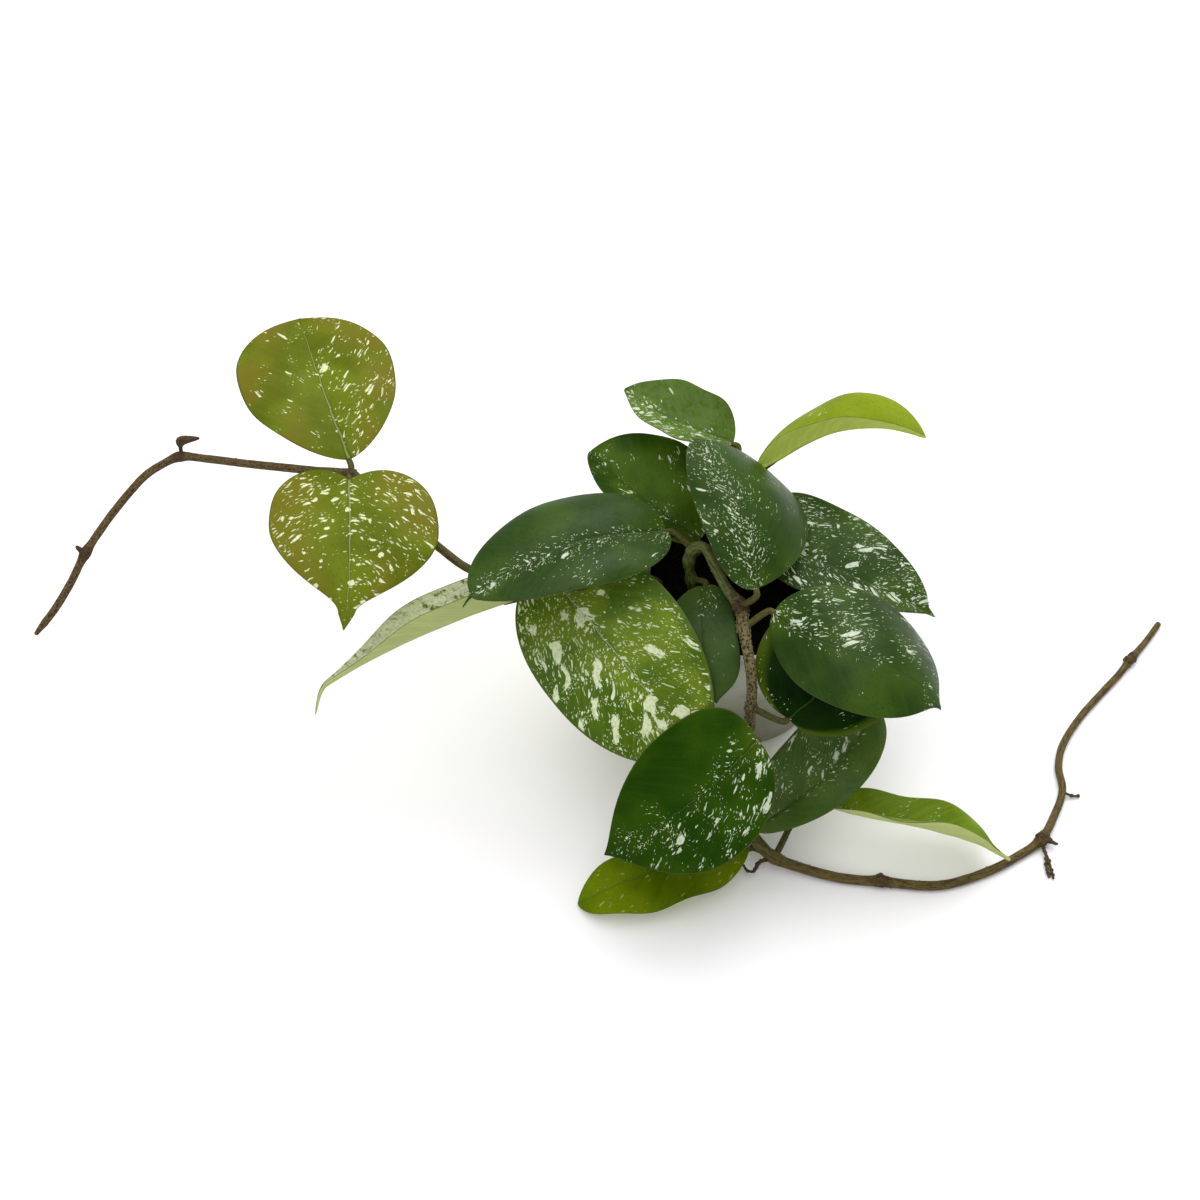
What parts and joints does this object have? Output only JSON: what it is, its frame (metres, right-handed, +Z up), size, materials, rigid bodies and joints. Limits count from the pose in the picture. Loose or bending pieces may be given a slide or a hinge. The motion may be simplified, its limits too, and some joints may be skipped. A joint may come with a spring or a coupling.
{
  "type": "potted hoya plant",
  "caption": "Potted trailing house plant: a plain round pot of soil with woody vines and large waxy, silver-flecked oval leaves.",
  "frame": {"origin": "centre of the pot's flat base, on the surface that it stands on", "axes": "+Z up, +X to the plant's right along its longest spread, +Y to its back"},
  "size_m": [0.5719, 0.2652, 0.1571],
  "materials": {
    "pot": "pale grey-white plastic with a soft sheen",
    "soil": "near-black, crumbly potting mix of bark and peat",
    "bark": "grey-brown, speckled woody stem",
    "vine": "olive-brown young woody stem",
    "dark_leaf": "waxy dark green leaf with silver flecks",
    "bright_leaf": "waxy bright green leaf with large silver-white flecks",
    "young_leaf": "waxy olive to yellow-green leaf with silver flecks and a bronze blush"
  },
  "bodies": {
    "root": {"pot": "pot", "soil": "soil", "vine_trailing": "bark", "vine_left": "vine", "vine_back": "vine", "leaf_round": "young_leaf", "leaf_heart": "young_leaf", "leaf_folded": "bright_leaf", "leaf_upper_left": "dark_leaf", "leaf_splashed": "bright_leaf", "leaf_front": "dark_leaf", "leaf_lower_right": "dark_leaf", "leaf_right": "dark_leaf", "leaf_glossy": "dark_leaf", "leaf_inner": "dark_leaf", "leaf_back_left": "dark_leaf", "leaf_centre": "dark_leaf", "leaf_back_right": "dark_leaf", "leaf_top": "dark_leaf", "leaf_arching": "young_leaf", "leaf_low_left": "bright_leaf", "leaf_low_right": "bright_leaf"}
  },
  "joints": []
}
